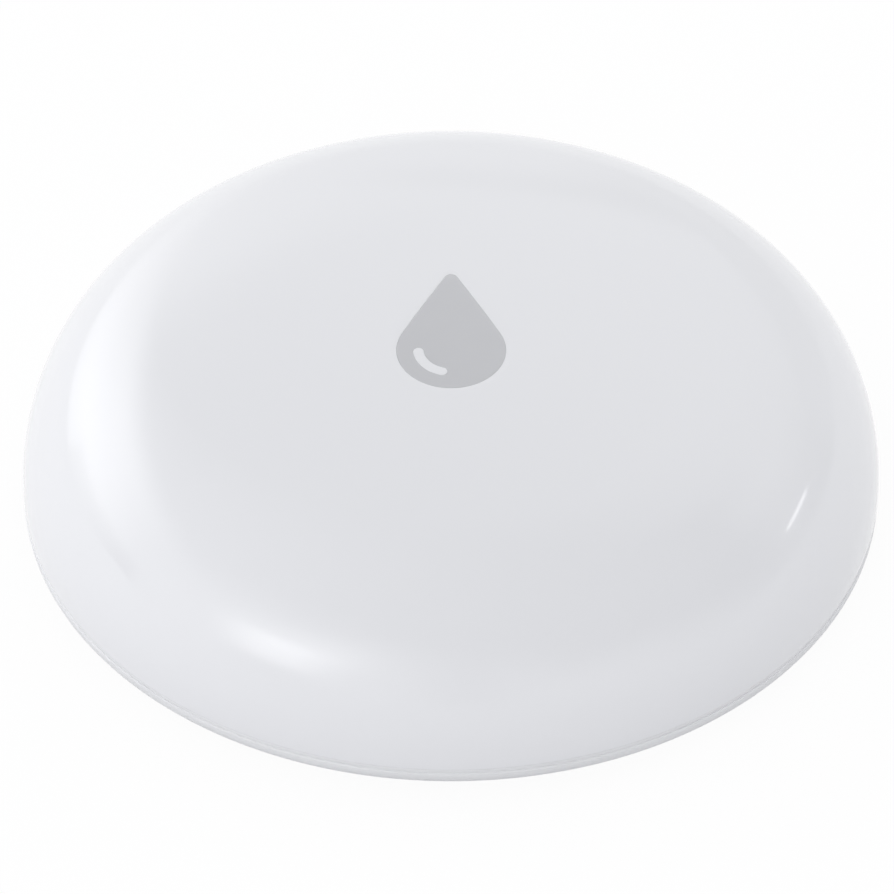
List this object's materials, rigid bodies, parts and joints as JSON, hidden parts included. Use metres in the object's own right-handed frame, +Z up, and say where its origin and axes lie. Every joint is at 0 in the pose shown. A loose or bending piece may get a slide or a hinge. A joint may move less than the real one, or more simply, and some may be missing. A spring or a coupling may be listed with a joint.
{
  "type": "water leak sensor",
  "caption": "White pebble-shaped floor sensor whose domed cover is its button, with a twist-lock battery lid and metal water probes underneath.",
  "frame": {"origin": "on the floor, under the middle of the disc, in the plane of the feet", "axes": "+Z up through the dome, -Y toward the side that the drop mark's round end faces, +X toward the right-hand probe"},
  "size_m": [0.05, 0.05, 0.015],
  "materials": {
    "gloss_shell": "smooth glossy moulded white",
    "base_shell": "fine satin moulded white",
    "grey_mark": "smooth light grey, flush with the shell",
    "clear_acrylic": "polished clear",
    "soft_seal": "soft pale grey silicone",
    "nickel_steel": "nickel plated sheet",
    "clear_insulator": "milky moulded insulator",
    "contact_strip": "plated spring strip",
    "probe_steel": "turned stainless",
    "pillar_brass": "turned brass",
    "screw_steel": "zinc plated",
    "board_laminate": "green lacquered laminate",
    "black_moulding": "black moulded resin",
    "lamp_body": "white moulded package",
    "antenna_ceramic": "fired ceramic",
    "capacitor_resin": "yellow moulded resin",
    "capacitor_ceramic": "fired brown ceramic"
  },
  "bodies": {
    "base": {"base_housing": "base_shell", "rim_gasket": "soft_seal", "battery_can": "nickel_steel", "battery_cap": "nickel_steel", "battery_gasket": "clear_insulator", "negative_contact": "contact_strip", "positive_contact": "contact_strip", "water_probe_left": "probe_steel", "water_probe_right": "probe_steel", "probe_seals": "soft_seal", "probe_pillars": "pillar_brass", "circuit_board": "board_laminate", "board_screws": "screw_steel", "switch_body": "black_moulding", "switch_frame": "nickel_steel", "switch_dome": "contact_strip", "switch_terminals": "contact_strip", "status_led": "lamp_body", "led_lens": "clear_acrylic", "radio_chip": "black_moulding", "crystal": "nickel_steel", "chip_antenna": "antenna_ceramic", "reservoir_capacitor": "capacitor_resin", "small_capacitors": "capacitor_ceramic", "small_resistors": "black_moulding"},
    "cover": {"top_cover": "gloss_shell", "drop_mark": "grey_mark", "light_guide": "clear_acrylic"},
    "plunger": {"switch_plunger": "black_moulding"},
    "battery_lid": {"battery_cover": "base_shell", "battery_cover_seal": "soft_seal"}
  },
  "joints": [
    {"name": "cover_press", "type": "slide", "parent": "base", "child": "cover", "axis": [0, 0, -1], "range_m": [0, 0.0002], "stiffness_N_per_m": 6000, "springref_m": -0.0002, "deforming": ["rim_gasket"]},
    {"name": "switch_plunger_travel", "type": "slide", "parent": "base", "child": "plunger", "axis": [0, 0, -1], "range_m": [0, 0.0002], "deforming": ["switch_dome"]},
    {"name": "battery_cover_twist", "type": "hinge", "parent": "base", "child": "battery_lid", "pos_m": [0, 0, 0.0006], "axis": [0, 0, 1], "range_deg": [0, 40]}
  ],
  "couplings": [
    {"joint": "switch_plunger_travel", "follows": "cover_press", "ratio": 1}
  ]
}
